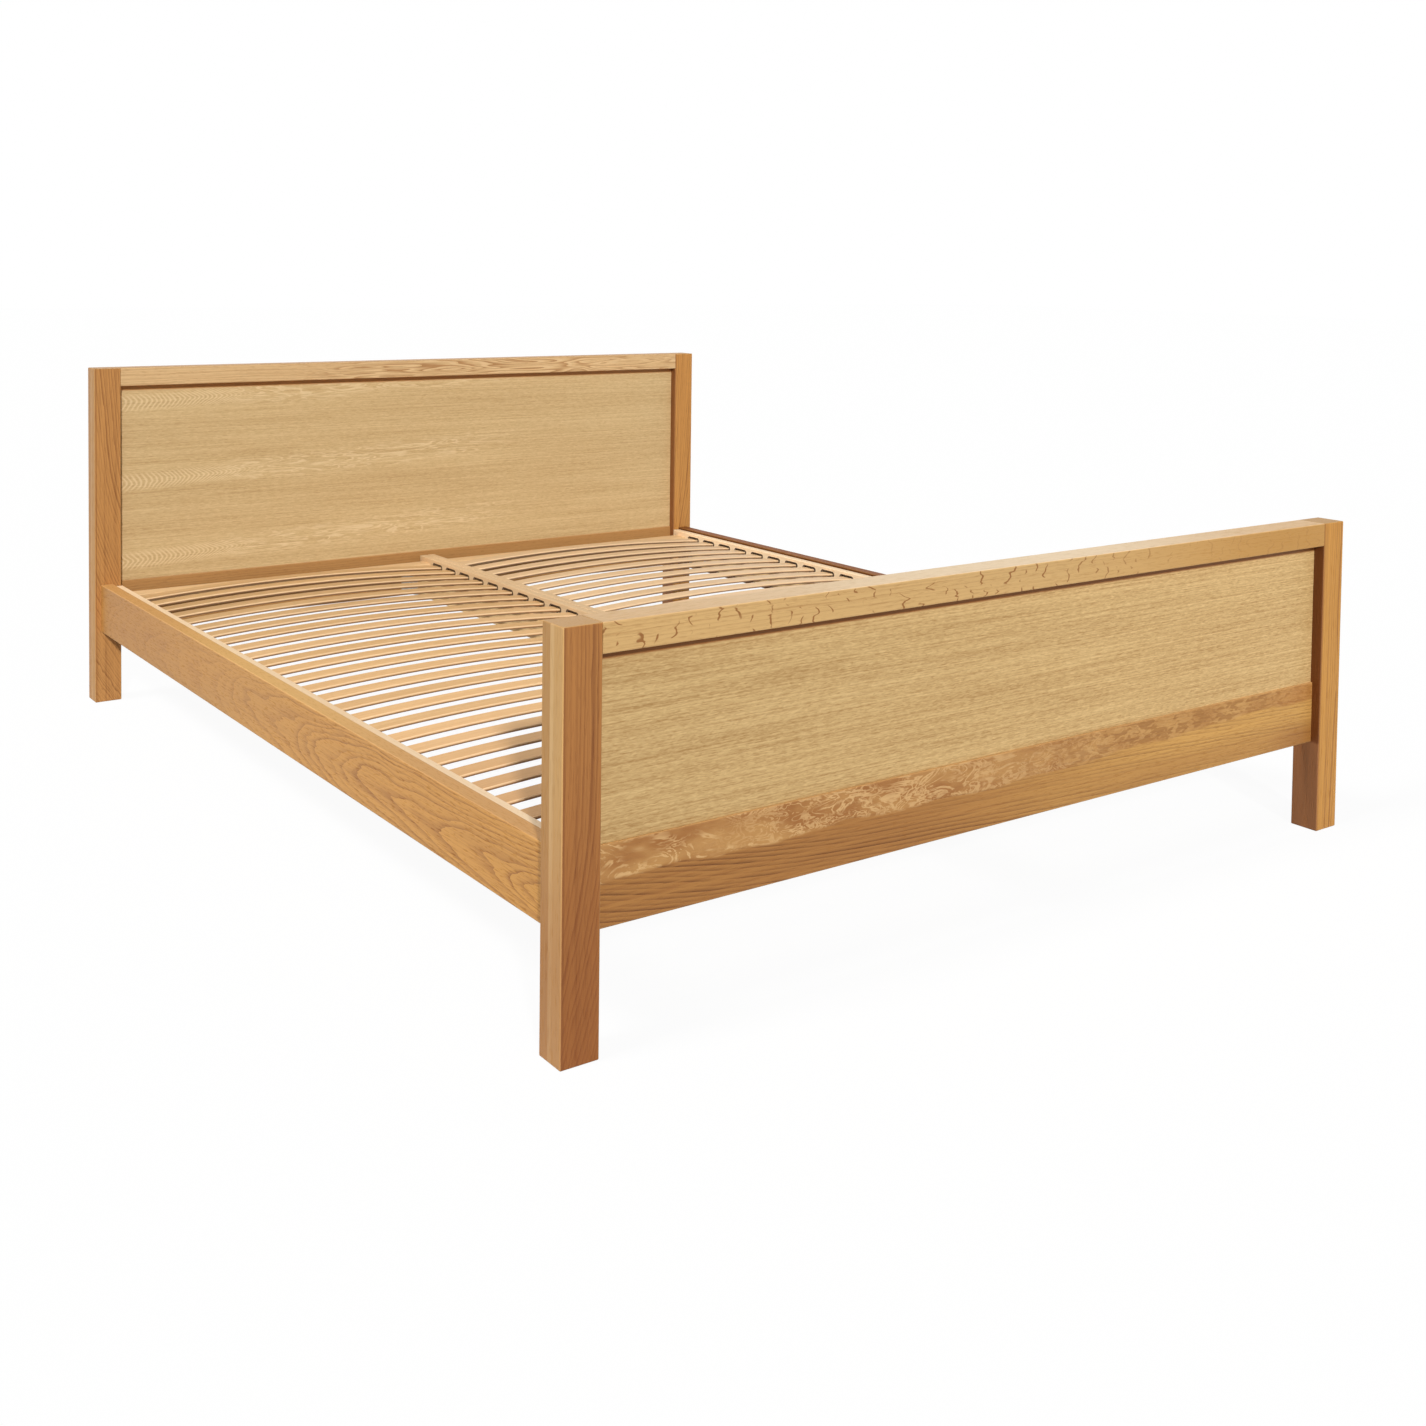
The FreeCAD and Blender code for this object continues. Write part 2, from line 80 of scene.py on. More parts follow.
class Wire:
    """The output of a shader node, ready to be used in a sum."""

    def __init__(self, finish, socket):
        self.finish = finish
        self.socket = socket

    def out(self, name):
        """Another output of the same node."""
        return Wire(self.finish, self.socket.node.outputs[name])

    def math(self, operation, *values):
        return self.finish.node("ShaderNodeMath", {"operation": operation}, dict(enumerate(values)))

    def __add__(self, other):
        return self.math("ADD", self, other)

    def __radd__(self, other):
        return self.math("ADD", other, self)

    def __sub__(self, other):
        return self.math("SUBTRACT", self, other)

    def __rsub__(self, other):
        return self.math("SUBTRACT", other, self)

    def __mul__(self, other):
        return self.math("MULTIPLY", self, other)

    def __rmul__(self, other):
        return self.math("MULTIPLY", other, self)

    def __truediv__(self, other):
        return self.math("DIVIDE", self, other)

    def __pow__(self, other):
        return self.math("POWER", self, other)

    def __abs__(self):
        return self.math("ABSOLUTE", self)

    def fraction(self):
        return self.math("FRACT", self)

    def floor(self):
        return self.math("FLOOR", self)

    def root(self):
        return self.math("SQRT", self)

    def larger(self, other):
        return self.math("MAXIMUM", self, other)

    def ramp(self, low, high):
        """0 at low, 1 at high, and a smooth rise between."""
        sockets = {"Value": self, "From Min": low, "From Max": high, "To Min": 0.0, "To Max": 1.0}
        return self.finish.node("ShaderNodeMapRange", {"interpolation_type": "SMOOTHSTEP"}, sockets)

    def contours(self, low, high):
        """A line at every whole step, as on a map: a ramp on the distance from the half between two."""
        return abs(self.fraction() - 0.5).ramp(low, high)


print("a wire can", ", ".join(name for name in vars(Wire) if not name.startswith("_")))

# %% [markdown]
# ## One finish
#
# A material is a tree of nodes, and so is the world. A second class holds one such tree. Its method
# `node` adds any node: first the settings, such as an operation, then what goes into the sockets, a
# wire or a plain value. The other methods are the few mixtures that most finishes need, and `close`
# ends a finish in one shader, so that each recipe only has to give a colour, a roughness and a
# height.

# %% Finishes


class Finish:
    """The nodes of one material, or of the world."""

    def __init__(self, owner):
        self.owner = owner
        owner.use_nodes = True
        self.tree = owner.node_tree
        self.tree.nodes.clear()

    def node(self, kind, settings, sockets, output=0):
        made = self.tree.nodes.new(kind)
        for key, value in settings.items():
            setattr(made, key, value)
        for key, value in sockets.items():
            if isinstance(value, Wire):
                self.tree.links.new(value.socket, made.inputs[key])
            else:
                made.inputs[key].default_value = value
        return Wire(self, made.outputs[output]) if made.outputs else made

    def split(self, output):
        """The three numbers of one output of Texture Coordinate."""
        vector = self.node("ShaderNodeTexCoord", {}, {}, output)
        x = self.node("ShaderNodeSeparateXYZ", {}, {0: vector})
        return x, x.out("Y"), x.out("Z")

    def noise(self, a, b, c, detail=2.0, distortion=0.0):
        """Soft random values around a half."""
        where = self.node("ShaderNodeCombineXYZ", {}, {0: a, 1: b, 2: c})
        sockets = {"Vector": where, "Scale": 1.0, "Detail": detail, "Roughness": 0.5, "Distortion": distortion}
        return self.node("ShaderNodeTexNoise", {}, sockets)

    def dice(self, number):
        """Another random value for each whole number."""
        return self.node("ShaderNodeTexWhiteNoise", {"noise_dimensions": "1D"}, {"W": number})

    def blend(self, share, first, second):
        """A colour between two colours."""
        settings = {"data_type": "RGBA", "clamp_factor": True}
        return self.node("ShaderNodeMix", settings, {0: share, 6: first, 7: second}, 2)

    def shade(self, colour, factor):
        """A colour made lighter or darker."""
        start = colour if isinstance(colour, Wire) else colour[:3]
        return self.node("ShaderNodeVectorMath", {"operation": "SCALE"}, {0: start, "Scale": factor})

    def close(self, colour, roughness, height, relief, sheen=0.3, metallic=0.0):
        """Ends the finish in a Principled shader, with a bump from a height."""
        bump = self.node("ShaderNodeBump", {}, {"Strength": 0.6, "Distance": relief, "Height": height})
        sockets = {"Base Color": colour, "Roughness": roughness, "Normal": bump}
        sockets.update({"Specular IOR Level": sheen, "Metallic": metallic})
        shader = self.node("ShaderNodeBsdfPrincipled", {}, sockets)
        self.node("ShaderNodeOutputMaterial", {}, {0: shader})
        return self.owner


def new_finish(name):
    return Finish(bpy.data.materials.new(name))


def dress(node, material):
    nodes[node].material_slots[0].material = material


print("a finish can", ", ".join(name for name in vars(Finish) if not name.startswith("_")))

# %% [markdown]
# ## Tones
#
# A polisher picks a stain by eye, on a scale where half way up looks half as bright. Blender counts
# light instead, so every tone is turned from the one into the other. Light values could be written
# down directly, but nobody can tell from them how a board will look.

# %% Tones


def tone(red, green, blue):
    """A colour as seen on a screen, 0 to 255, turned into light values."""

    def light(value):
        value = value / 255
        return value / 12.92 if value <= 0.04045 else ((value + 0.055) / 1.055) ** 2.4

    return (light(red), light(green), light(blue), 1.0)


print("honey oak in light values", [round(v, 3) for v in tone(200, 150, 95)[:3]])

# %% [markdown]
# ## What every board shares
#
# A board is cut out of a tree, so all its grain follows from one solid: rings round a heart, fibres
# along the trunk, and open pores in the early wood of each ring. A picture of grain could be laid
# on each face, but then it wouldn't meet at the arrises. So the helper below turns a point into its
# place along, across and through the board, and its methods make rings, fibres and pores from that.
# Sawn slightly aslant, the rings run out on the face as nested arches. No two rings of a tree are
# alike, so each gets its own width and its own darkness.

# %% Rings, fibres and pores
OPEN_GRAIN = 0.0003
CLOSE_GRAIN = 0.0002


class Board:
    """Places on one board: along its grain, across its face, and through its thickness."""

    def __init__(self, finish, node, order):
        low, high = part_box(node)
        self.finish = finish
        self.middle = (low + high) / 2
        self.half = (high - low) / 2
        self.xyz = finish.split("Object")
        self.normal = finish.split("Normal")
        self.axes = ["XYZ".index(letter) for letter in order]
        self.along, self.across, self.through = [self.xyz[i] - self.middle[i] for i in self.axes]

    def noise(self, along, across, detail=2.0, seed=0.0, distortion=0.0):
        """Random values, stretched by how often they change along and across the grain."""
        return self.finish.noise(
            self.along * along + seed, self.across * across, self.through * across, detail, distortion
        )

    def swing(self, along, across, **more):
        """The same random values, but around nought."""
        return self.noise(along, across, **more) - 0.5

    def uneven(self, count):
        """Makes some rings narrow and some wide, and frays them along the fibres."""
        return count + self.finish.noise(count * 0.6, 0.5, 0.5) * 2.2 + self.swing(7.0, 90.0, seed=7.7) * 0.8

    def rings(self, heart, slope, spacing, sway):
        """Counts growth rings outwards from a heart that lies aslant to the board."""
        drift = self.swing(1.9, 6.0, detail=3.0, seed=3.1) * sway
        sideways = self.across - heart[0] + drift
        deep = self.through + self.along * slope + heart[1] + drift
        return self.uneven((sideways * sideways + deep * deep).root() / spacing)

    def early_wood(self, count):
        """Dark at the start of each ring, fading outwards."""
        return (1.0 - count.fraction()) ** 2.0 * (0.35 + 0.65 * self.finish.dice(count.floor()))

    def fibres(self):
        """Fine streaks along the grain, about -0.5 to 0.5."""
        return self.swing(5.0, 420.0, detail=3.0, seed=1.3) * 2.2

    def pores(self, along=60.0, across=480.0):
        """Short dark dashes along the grain."""
        return self.noise(along, across, detail=1.0, seed=5.9).ramp(0.54, 0.68)

    def low_end(self):
        """0 at the high end of the board, 1 at the low end."""
        half = self.half[self.axes[0]]
        return self.along.ramp(half, -half)

    def on_top(self):
        """1 on the faces that look up."""
        return self.normal[2].ramp(0.5, 0.8)

    def arris(self, reach=0.003):
        """1 on the long arrises, where two faces meet."""
        near = [abs(abs(self.xyz[i] - self.middle[i]) - self.half[i]) for i in self.axes[1:]]
        return (near[0].larger(near[1]) * (1 / reach)).ramp(1.0, 0.3)


print("a board has", ", ".join(name for name in vars(Board) if not name.startswith("_")))

# %% [markdown]
# ## The posts
#
# Each post is glued up from two boards, and the seam shows as a paler line down its side. The face
# that looks towards the foot is the flat of the board: redder, with dark lines that stand upright
# at the top and lean over lower down, where the trunk was bent. The outer sides show the plain pale
# edge of the wood, and the planed top is paler still. The sides towards the middle of the bed have
# tones of their own: on the right-hand posts they are painted shade, darkest in the recess beside
# the panel. One material per face could do this too, but then the grain would break off at every
# arris, so one material tells the faces apart by the way they look.

# %% Post finish
POST_RING = 0.0062
POST_SEAM = 0.0055
SEAM_WIDTH = 0.005
UNDER_RAIL = (0.154, 0.160)


def post_face(f, b, ring, fibres, stripes, pores, light, dark, fade):
    """The flat of the board, redder towards the floor and darker at its left edge."""
    face = f.blend(ring * 0.75 + fibres * 0.30 + stripes * 0.50 + pores * 0.15, light, dark)
    face = f.blend(b.low_end() * fade, face, tone(128, 64, 18))
    return f.blend(b.across.ramp(-0.0225, -0.0255) * 0.5, face, dark)


def post_side(f, b, outer, seam_tone, inner, fade):
    """Two boards and a seam on the outer side, and two tones on the inner side, which on the right-hand posts are
    painted shade.
    """
    seam = b.through - POST_SEAM
    glue = (1.0 - abs(seam + 0.0045) * (1 / SEAM_WIDTH)).ramp(0.0, 0.25)
    side = f.blend(seam.ramp(-0.001, 0.001), *outer)
    side = f.blend(glue * 0.5, side, seam_tone)
    side = f.blend(b.xyz[2].ramp(0.40, 0.10) * fade, side, tone(158, 102, 56))
    outwards = b.normal[0] * math.copysign(1.0, b.middle.x)
    # Below and above the rail the inner side takes two tones; on the right-hand posts they are painted shade,
    # darkest in the recess.
    return f.blend(outwards.ramp(-0.3, 0.3), f.blend(b.xyz[2].ramp(*UNDER_RAIL), *inner), side)


def post_oak(node, light, dark, top, outer, seam_tone, inner, lean, bend, fade=0.0):
    f = new_finish(node + "_oak")
    b = Board(f, node, "ZXY")
    low = (b.half.z * 0.6 - b.along).larger(0.0)
    sway = b.swing(2.4, 9.0, seed=3.3) * 0.022
    place = b.across + b.through * 0.5 + b.along * lean + low * low * bend + sway
    ring = b.early_wood(b.uneven(place / POST_RING))
    fibres, pores = b.fibres(), b.pores(40.0, 420.0)
    stripes = b.swing(1.5, 130.0, seed=2.7) * 1.6
    broad = b.noise(2.2, 16.0, seed=4.4)
    face = post_face(f, b, ring, fibres, stripes, pores, light, dark, fade)
    side = post_side(f, b, outer, seam_tone, inner, fade)
    side = f.blend(fibres * 0.20 + stripes * 0.10 + pores * 0.10, side, dark)
    wood = f.blend(abs(b.normal[0]).ramp(0.35, 0.65), face, side)
    wood = f.shade(wood, 0.88 + broad * 0.24)
    wood = f.blend(b.on_top(), wood, f.shade(top, 1.0 + fibres * 0.05))
    # Painted highlight: a faint pale line along the arrises.
    wood = f.blend(b.arris() * 0.05, wood, tone(216, 172, 120))
    height = fibres * 0.4 - pores - ring * 0.3
    return f.close(wood, 0.42 + pores * 0.15 + broad * 0.1, height, OPEN_GRAIN)


print("rings of the posts", round(POST_RING * 1000, 1), "mm apart")

# %% Polish the posts
EDGE_WOOD = (tone(196, 153, 95), tone(180, 134, 77))
PALE_SEAM = tone(218, 180, 126)
POSTS = {
    "foot_post_left": dict(
        light=tone(172, 116, 61), dark=tone(114, 64, 28), top=tone(184, 143, 92),
        outer=EDGE_WOOD, seam_tone=PALE_SEAM, inner=EDGE_WOOD, lean=0.02, bend=0.42, fade=0.55,
    ),
    "foot_post_right": dict(
        light=tone(201, 144, 68), dark=tone(135, 80, 32), top=tone(174, 133, 78),
        # The inner tones are painted shade, darker in the recess above the rail.
        outer=EDGE_WOOD, seam_tone=PALE_SEAM, inner=(tone(141, 92, 54), tone(104, 56, 18)),
        lean=-0.01, bend=0.05,
    ),
    "head_post_left": dict(
        light=tone(188, 134, 75), dark=tone(122, 73, 33), top=tone(176, 134, 84),
        outer=(tone(176, 128, 69), tone(170, 121, 65)), seam_tone=tone(198, 156, 102), inner=EDGE_WOOD,
        lean=0.10, bend=-0.45,
    ),
    "head_post_right": dict(
        light=tone(196, 139, 72), dark=tone(138, 86, 39), top=tone(180, 138, 86),
        # The inner tones are painted shade in the recess beside the panel.
        outer=EDGE_WOOD, seam_tone=PALE_SEAM, inner=(tone(154, 98, 53), tone(136, 86, 45)),
        lean=-0.05, bend=0.20,
    ),
    "centre_leg": dict(
        light=tone(206, 160, 104), dark=tone(170, 120, 72), top=tone(236, 212, 174),
        outer=(tone(206, 164, 112), tone(196, 152, 100)), seam_tone=tone(222, 184, 134), inner=EDGE_WOOD,
        lean=0.03, bend=0.10,
    ),
}
for node, recipe in POSTS.items():
    dress(node, post_oak(node, **recipe))
    print(node, "polished")

# %% [markdown]
# ## The panels
#
# The boards' panels are veneered. Slices of one log, called leaves, are laid one above the other, so
# a feathery figure comes back at every leaf, a bit less than a hand and a half apart. At the left
# end it is a row of arrow tips, which then stretch into slanting feathers and at last into loose
# pale curls. The rest is plain, with fine lines and short dark pores along the grain. The feathers
# could be drawn one by one, but since all leaves are alike, one leaf is worked out and a fraction
# repeats it up the panel.

# %% Veneer finish
LEAF = 0.1775
TIP_PITCH = 0.0112
TIP_ROUNDING = 0.00002
SHADOW_BELOW_RAIL = (-0.0128, -0.0100)


def leaf_figure(b, first_leaf):
    """Feathers at the left end and curls further in, once on every leaf."""
    from_left = b.along + b.half.x
    place = ((b.xyz[2] - first_leaf) / LEAF + 0.5).fraction() * LEAF - LEAF / 2
    place = place - from_left * 0.05 + b.swing(3.0, 10.0, seed=9.0) * 0.012
    aside = (place * place + TIP_ROUNDING).root()
    stretch = from_left.ramp(0.06, 0.30)
    wobble = b.swing(16.0, 60.0, detail=3.0, seed=3.3) * 0.016
    feathers = ((b.along + aside * (0.9 + stretch * 2.2) + wobble) / TIP_PITCH).contours(0.14, 0.44)
    feathers = feathers * aside.ramp(0.026, 0.010) * from_left.ramp(0.36, 0.22)
    curls = (b.noise(5.0, 54.0, detail=3.0, seed=2.2, distortion=1.0) * 9.0).contours(0.26, 0.06)
    curls = curls * abs(place).ramp(0.038, 0.012) * from_left.ramp(0.18, 0.34) * from_left.ramp(1.15, 0.75)
    return feathers + curls


def panel_veneer(node, light, dark, pale, first_leaf, feather, fade, rail_z, painted_shadow):
    f = new_finish(node + "_veneer")
    b = Board(f, node, "XZY")
    lines = b.swing(3.5, 430.0, detail=1.0, seed=1.9) * 2.0
    dashes = b.swing(90.0, 560.0, detail=3.0, seed=8.2, distortion=0.8) * 2.0
    bands = b.swing(1.1, 70.0, seed=4.7) * 2.0
    broad = b.swing(0.8, 18.0, seed=6.5) * 2.0
    figure = leaf_figure(b, first_leaf) * feather
    grain = 0.42 + lines * 0.55 + dashes * 0.85 + bands * 0.20 + broad * (0.15 + 0.20 * feather)
    wood = f.blend(grain - figure * 0.2, light, dark)
    wood = f.blend(figure * 0.50, wood, pale)
    # Darker towards the left end: painted shade, where less light falls.
    wood = f.shade(wood, 1.0 - fade * b.low_end())
    # Painted shadow: a dark band on the panel just below the rail above it.
    wood = f.blend((b.xyz[2] - rail_z).ramp(*SHADOW_BELOW_RAIL) * 0.85, wood, painted_shadow)
    return f.close(wood, 0.46 + grain * 0.08, figure * 0.3 - grain, CLOSE_GRAIN)


PANELS = {
    "head_panel": dict(
        light=tone(215, 187, 138), dark=tone(184, 150, 101), pale=tone(233, 208, 164),
        first_leaf=0.304, feather=1.0, fade=0.02, rail_z=0.702, painted_shadow=tone(172, 116, 60),
    ),
    "foot_panel": dict(
        light=tone(224, 190, 132), dark=tone(174, 134, 80), pale=tone(228, 198, 148),
        first_leaf=0.20, feather=0.15, fade=0.12, rail_z=0.509, painted_shadow=tone(138, 78, 24),
    ),
}
for node, recipe in PANELS.items():
    dress(node, panel_veneer(node, **recipe))
    print(node, "veneered, leaves", LEAF, "m high")

# %% [markdown]
# ## The rails
#
# The rails are solid oak, and each is sawn out of another part of a trunk. Where the heart lies, how
# far it slants and how close the rings are is all that tells plain boards apart, so one recipe makes
# them all. The side rails are flat sawn, with flames that point to the head. What plain rings can't
# give is called figure. Each figure is a function that paints over the plain wood, and a rail names
# the one it wants.

# %% Rail finish


def rail_oak(
    node, light, dark, heart, slope, spacing, sway, top, top_ends=None,
    order="XZY", bold=0.65, fade=0.0, figure=None, sheen=0.3,
):
    f = new_finish(node + "_oak")
    b = Board(f, node, order)
    reach = b.half[b.axes[0]]
    strength = 0.45 + 0.55 * b.along.ramp(reach * 0.2, reach * -0.6)
    ring = b.early_wood(b.rings(heart, slope, spacing, sway)) * strength
    fibres, pores = b.fibres(), b.pores()
    broad = b.noise(1.3, 12.0, seed=4.4)
    wood = f.blend(ring * bold + fibres * 0.40 + pores * 0.25, light, dark)
    wood = f.shade(wood, (0.88 + broad * 0.24) * (1.0 - fade * b.low_end()))
    if figure is not None:
        wood = figure(f, b, wood)
    upper = f.blend(abs(b.along).ramp(0.1, 0.7), top, top_ends or top)
    wood = f.blend(b.on_top(), wood, f.shade(upper, 1.0 + fibres * 0.10 - pores * 0.08))
    # Painted highlight: a pale line along the arrises.
    wood = f.blend(b.arris() * 0.12, wood, tone(220, 178, 126))
    height = fibres * 0.4 - pores - ring * 0.4
    return f.close(wood, 0.43 + pores * 0.15 + broad * 0.08, height, OPEN_GRAIN, sheen)


print("one recipe for", sum(name.endswith("rail") or "side_rail" in name for name in nodes), "rails")

# %% [markdown]
# ## Rays, loops, a browner end and painted shade
#
# The footboard's top rail is cut along the rays of the tree, which show as short brown squiggles
# across the grain, in loose groups. They are lines at even steps along the rail, bent by noise and
# broken up by more noise, because squiggles that were placed one by one would look placed. The
# headboard's top rail has long loops instead: contour lines of a stretched noise. The left side rail
# has a browner part towards the head, which is only a soft change of tone. On the right side rail,
# the top and the side that looks at the slats are painted dark: that is painted shade.

# %% Simple figures
FLECK_PITCH = 0.026


def ray_flecks(f, b, wood):
    """Short brown squiggles across the grain, and a gold tone to the right."""
    gold = f.blend(b.along.ramp(0.0, 0.65) * 0.75, wood, tone(182, 130, 58))
    wander = b.along + b.swing(14.0, 48.0, seed=5.0, distortion=0.6) * 0.06
    line = (wander / FLECK_PITCH).contours(0.085, 0.036)
    group = b.noise(46.0, 38.0, detail=1.0, seed=1.7).ramp(0.49, 0.56)
    group = group * (0.25 + 0.75 * b.along.ramp(0.40, 0.05))
    return f.blend(line * group * 0.9, gold, tone(142, 90, 42))


def crown_figure(f, b, wood):
    """Long loops of brown from the middle of the rail to its right end."""
    loops = (b.noise(3.6, 44.0, detail=1.0, seed=3.9, distortion=0.4) * 13.0).fraction()
    where = b.along.ramp(-0.40, -0.12) * (0.6 + 0.4 * b.along.ramp(0.7, 0.3))
    wood = f.blend(abs(loops - 0.2).ramp(0.2, 0.05) * where * 0.5, wood, tone(232, 200, 152))
    return f.blend(loops.ramp(0.45, 0.95) * where * 0.7, wood, tone(158, 106, 56))


def brown_head_end(f, b, wood):
    """Browner wood towards the head."""
    return f.blend(b.along.ramp(0.0, 0.9) * 0.35, wood, tone(150, 98, 45))


def shade_inside(f, b, wood):
    """Painted shade on the side that looks at the slats."""
    return f.blend(b.normal[0].ramp(-0.3, -0.7) * 0.92, wood, tone(88, 46, 16))


print("flecks", round(FLECK_PITCH * 1000), "mm apart")

# %% [markdown]
# ## Wood from beside a branch
#
# The footboard's lower rail has dark lines that run down to its lower edge, and curly wood above
# them, as a trunk has beside a branch. Pale curls fill its left half and short dark strokes its
# right. The curls are contour lines of a noise that is pulled about by its own distortion, one
# coarse and one fine, since real curls come in all sizes.

# %% Branch figure
DARK_LINE_PITCH = 0.0062


def dark_lines(b):
    """Lines along the rail that turn down to its lower edge at the left end."""
    turn = (-0.20 - b.along).larger(0.0)
    drift = b.swing(1.3, 9.0, seed=4.1) * 0.02 + b.swing(9.0, 60.0, seed=7.4) * 0.0030
    count = (b.across + b.along * 0.05 - turn * turn * 0.12 + drift) / DARK_LINE_PITCH
    return b.early_wood(count) * b.noise(3.0, 170.0, seed=2.9).ramp(0.30, 0.55)


def curly_wood(f, b, left, right_end):
    """Brown wood with pale curls on the left and dark strokes on the right."""
    clouds = b.noise(9.0, 22.0, detail=3.0, seed=3.6).ramp(0.35, 0.65)
    coarse = (b.noise(13.0, 30.0, detail=4.0, seed=2.4, distortion=1.6) * 6.0).contours(0.26, 0.06)
    coarse = coarse * b.noise(12.0, 30.0, seed=6.1).ramp(0.38, 0.55)
    fine = (b.noise(36.0, 74.0, detail=3.0, seed=9.4, distortion=1.3) * 5.0).contours(0.28, 0.08)
    fine = fine * b.noise(9.0, 30.0, seed=1.1).ramp(0.36, 0.50) * b.along.ramp(-0.62, -0.40)
    pale = coarse.larger(fine * 0.8) * (0.20 + 0.65 * left)
    strokes = b.noise(44.0, 130.0, seed=5.3, distortion=0.8).ramp(0.46, 0.57) * b.along.ramp(-0.10, 0.35)
    wood = f.blend(clouds, tone(156, 103, 53), tone(186, 139, 82))
    wood = f.blend(pale, wood, tone(216, 175, 120))
    wood = f.blend(strokes * 0.8, wood, tone(134, 82, 36))
    return f.blend(right_end * 0.3, wood, tone(184, 110, 48))


def branch_figure(f, b, wood):
    """Curly wood in the upper half, and dark lines below it."""
    left, right_end = b.along.ramp(0.45, -0.30), b.along.ramp(0.58, 0.72)
    browner = b.across.ramp(0.0, -0.035) * (0.35 * b.along.ramp(0.05, 0.35) + 0.40 * right_end)
    wood = f.blend(left * 0.75, wood, tone(153, 99, 49))
    wood = f.blend(browner, wood, tone(150, 96, 45))
    wood = f.blend(dark_lines(b) * (0.50 + 0.50 * left), wood, tone(88, 44, 15))
    border = b.swing(7.0, 12.0, detail=3.0, seed=8.8) * 0.03 - b.along.ramp(0.05, 0.60) * 0.016
    upper = (b.across + border).ramp(0.004, 0.010)
    return f.blend(upper * (0.65 + 0.30 * left), wood, curly_wood(f, b, left, right_end))


print("dark lines", round(DARK_LINE_PITCH * 1000, 1), "mm apart")

# %% Polish the rails
SIDE_OAK = dict(
    order="YZX", light=tone(190, 138, 70), dark=tone(134, 82, 34), spacing=0.0056, sway=0.045, bold=0.90
)
RAILS = {
    "side_rail_left": dict(
        SIDE_OAK, heart=(-0.012, 0.10), slope=0.075, fade=-0.14,
        top=tone(209, 163, 98), top_ends=tone(195, 145, 85), figure=brown_head_end,
    ),
    # The right rail's dark top and its dark side towards the slats are painted shade.
    "side_rail_right": dict(
        SIDE_OAK, heart=(0.015, -0.13), slope=0.07, top=tone(126, 74, 30), figure=shade_inside, sheen=0.08,
    ),
    "foot_top_rail": dict(
        light=tone(209, 170, 112), dark=tone(174, 131, 78), top=tone(224, 198, 161), top_ends=tone(207, 170, 123),
        heart=(0.22, 0.01), slope=0.01, spacing=0.006, sway=0.01, figure=ray_flecks,
    ),
    "foot_lower_rail": dict(
        light=tone(204, 155, 84), dark=tone(152, 100, 47), top=tone(200, 150, 90),
        heart=(-0.16, 0.02), slope=0.01, spacing=0.0085, sway=0.012, figure=branch_figure,
    ),
    "head_top_rail": dict(
        light=tone(216, 181, 132), dark=tone(176, 133, 84), top=tone(180, 138, 88),
        heart=(-0.10, 0.03), slope=0.03, spacing=0.0065, sway=0.02, figure=crown_figure,
    ),
    "head_lower_rail": dict(
        light=tone(178, 131, 77), dark=tone(145, 99, 53), top=tone(190, 142, 88),
        heart=(-0.14, 0.02), slope=0.02, spacing=0.006, sway=0.02,
    ),
}
for node, recipe in RAILS.items():
    dress(node, rail_oak(node, **recipe))
    print(node, "polished")

# %% [markdown]
# ## Stringers and end bars
#
# The slat bases' stringers and end bars are pale planed beech, nearly plain, with tiny brown rays.
# The mortises that take the slats lie in shade, and that shade is painted. They are real openings
# in the solids, so only their darkness is missing: everything inside the outer faces is painted
# nearly black as shade, and so is a narrow rim of painted shadow with round ends about each opening.
# The rim follows from the slats' pitch, since painting it mortise by mortise would take a hundred
# places.

# %% Stringer finish
SLAT_PITCH = 0.0721
SLAT_HALF = 0.0185
MORTISE_Z = 0.2420
RIM = (0.0080, 0.0073)
LAST_MORTISE = (0.940, 0.936)


def mortises(b, side):
    """Painted shade: 1 inside the mortises and on a rim about each. Side is 1 where they look outwards, -1
    inwards.
    """
    x, y, z = b.xyz
    inside = abs(abs(x) - abs(b.middle.x)).ramp(b.half.x - 0.0004, b.half.x - 0.0010)
    inside = inside * abs(z - b.middle.z).ramp(b.half.z - 0.0025, b.half.z - 0.0035)
    inside = inside * abs(y).ramp(b.half.y - 0.0025, b.half.y - 0.0035)
    beyond = (abs((y / SLAT_PITCH).fraction() - 0.5) * SLAT_PITCH - SLAT_HALF).larger(0.0)
    over = z - MORTISE_Z
    rim = (beyond * beyond + over * over).root().ramp(*RIM) * abs(y).ramp(*LAST_MORTISE)
    outwards = b.normal[0] * x.ramp(-0.001, 0.001) * 2.0 - b.normal[0]
    return inside.larger(rim * outwards.ramp(0.5 * side, 0.8 * side))


def stringer_beech(name, node, order, light, dark, side=None):
    f = new_finish(name)
    b = Board(f, node, order)
    fibres = b.fibres()
    rays = b.noise(120.0, 500.0, detail=1.0, seed=3.0).ramp(0.58, 0.74)
    broad = b.noise(1.5, 12.0, seed=2.0)
    wood = f.blend(0.3 + fibres * 0.4 + (broad - 0.5) * 0.9, light, dark)
    wood = f.blend(rays * 0.3, wood, tone(196, 150, 104))
    if side is not None:
        # Painted shade: the mortises' insides and rims darkened nearly black.
        wood = f.blend(mortises(b, side) * 0.95, wood, tone(52, 30, 16))
    return f.close(wood, 0.5 + broad * 0.12, fibres - rays, CLOSE_GRAIN)


